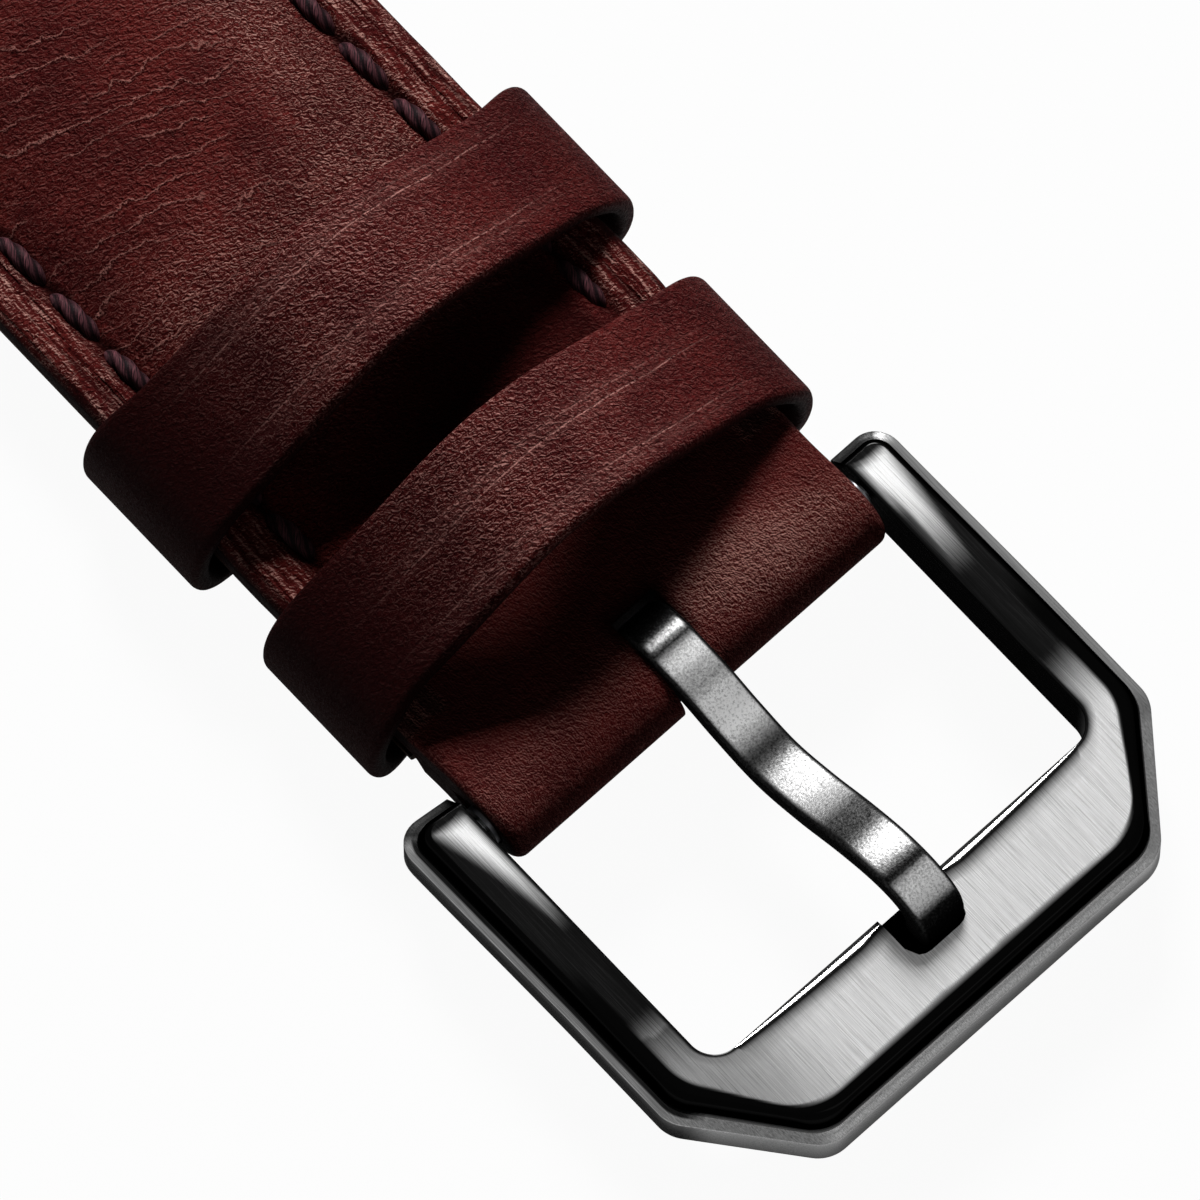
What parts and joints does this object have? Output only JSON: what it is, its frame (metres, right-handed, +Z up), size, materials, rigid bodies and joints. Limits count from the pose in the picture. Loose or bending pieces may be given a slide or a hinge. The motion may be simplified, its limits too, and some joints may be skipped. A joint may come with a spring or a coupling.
{
  "type": "leather watch strap",
  "caption": "Padded leather watch strap with stitched edges, a fixed and a free keeper, and a chamfered steel pin buckle on a spring bar.",
  "frame": {"origin": "middle of the footprint of the whole strap, laid flat with both halves in line, on the table", "axes": "+X along the strap towards the buckle, +Y across it, +Z up, away from the wrist"},
  "size_m": [0.2508, 0.0256, 0.0121],
  "materials": {
    "top_leather": "semi-matt",
    "keeper_leather": "semi-matt",
    "lining_leather": "matt",
    "padding": "matt",
    "thread": "waxed",
    "brushed_steel": "brushed, polished edges",
    "blasted_steel": "fine blasted",
    "bar_steel": "satin",
    "spring_steel": "satin"
  },
  "bodies": {
    "short_half": {"short_top_leather": "top_leather", "short_lining": "lining_leather", "short_filler": "padding", "short_stitches": "thread", "fixed_keeper": "keeper_leather"},
    "free_keeper": {"free_keeper": "keeper_leather"},
    "buckle": {"buckle_frame": "brushed_steel"},
    "tang": {"buckle_tang": "blasted_steel"},
    "long_half": {"long_top_leather": "top_leather", "long_lining": "lining_leather", "long_filler": "padding", "long_stitches": "thread"},
    "buckle_bar": {"buckle_bar_tube": "bar_steel", "buckle_bar_spring": "spring_steel"},
    "buckle_bar_left_tip": {"buckle_bar_left_tip": "bar_steel"},
    "buckle_bar_right_tip": {"buckle_bar_right_tip": "bar_steel"},
    "short_lug_bar": {"short_lug_bar_tube": "bar_steel", "short_lug_bar_spring": "spring_steel"},
    "short_lug_bar_left_tip": {"short_lug_bar_left_tip": "bar_steel"},
    "short_lug_bar_right_tip": {"short_lug_bar_right_tip": "bar_steel"},
    "long_lug_bar": {"long_lug_bar_tube": "bar_steel", "long_lug_bar_spring": "spring_steel"},
    "long_lug_bar_left_tip": {"long_lug_bar_left_tip": "bar_steel"},
    "long_lug_bar_right_tip": {"long_lug_bar_right_tip": "bar_steel"}
  },
  "joints": [
    {"name": "free_keeper_slide", "type": "slide", "parent": "short_half", "child": "free_keeper", "axis": [1, 0, 0], "range_m": [-0.044, 0.0038]},
    {"name": "buckle_swing", "type": "hinge", "parent": "short_half", "child": "buckle", "pos_m": [0.1066, 0, 0.00439], "axis": [0, -1, 0], "range_deg": [-40, 50]},
    {"name": "tang_swing", "type": "hinge", "parent": "buckle", "child": "tang", "pos_m": [0.1066, 0, 0.00439], "axis": [0, -1, 0], "range_deg": [0, 55]},
    {"name": "buckle_bar_spin", "type": "hinge", "parent": "short_half", "child": "buckle_bar", "pos_m": [0.1066, 0, 0.00439], "axis": [0, 1, 0], "continuous": true},
    {"name": "buckle_bar_left_tip_slide", "type": "slide", "parent": "buckle_bar", "child": "buckle_bar_left_tip", "axis": [0, 1, 0], "range_m": [0, 0.0011], "stiffness_N_per_m": 300, "springref_m": -0.001, "deforming": ["buckle_bar_spring"]},
    {"name": "buckle_bar_right_tip_slide", "type": "slide", "parent": "buckle_bar", "child": "buckle_bar_right_tip", "axis": [0, -1, 0], "range_m": [0, 0.0011], "stiffness_N_per_m": 300, "springref_m": -0.001, "deforming": ["buckle_bar_spring"]},
    {"name": "short_lug_bar_spin", "type": "hinge", "parent": "short_half", "child": "short_lug_bar", "pos_m": [0.0316, 0, 0.00439], "axis": [0, 1, 0], "continuous": true},
    {"name": "short_lug_bar_left_tip_slide", "type": "slide", "parent": "short_lug_bar", "child": "short_lug_bar_left_tip", "axis": [0, 1, 0], "range_m": [0, 0.0011], "stiffness_N_per_m": 300, "springref_m": -0.001, "deforming": ["short_lug_bar_spring"]},
    {"name": "short_lug_bar_right_tip_slide", "type": "slide", "parent": "short_lug_bar", "child": "short_lug_bar_right_tip", "axis": [0, -1, 0], "range_m": [0, 0.0011], "stiffness_N_per_m": 300, "springref_m": -0.001, "deforming": ["short_lug_bar_spring"]},
    {"name": "watch_gap_slide", "type": "slide", "parent": "short_half", "child": "long_lug_bar", "axis": [-1, 0, 0], "range_m": [-0.008, 0.008]},
    {"name": "long_half_swing", "type": "hinge", "parent": "long_lug_bar", "child": "long_half", "pos_m": [-0.0104, 0, 0.00179], "axis": [0, 1, 0], "range_deg": [-90, 60]},
    {"name": "long_lug_bar_left_tip_slide", "type": "slide", "parent": "long_lug_bar", "child": "long_lug_bar_left_tip", "axis": [0, 1, 0], "range_m": [0, 0.0011], "stiffness_N_per_m": 300, "springref_m": -0.001, "deforming": ["long_lug_bar_spring"]},
    {"name": "long_lug_bar_right_tip_slide", "type": "slide", "parent": "long_lug_bar", "child": "long_lug_bar_right_tip", "axis": [0, -1, 0], "range_m": [0, 0.0011], "stiffness_N_per_m": 300, "springref_m": -0.001, "deforming": ["long_lug_bar_spring"]}
  ]
}
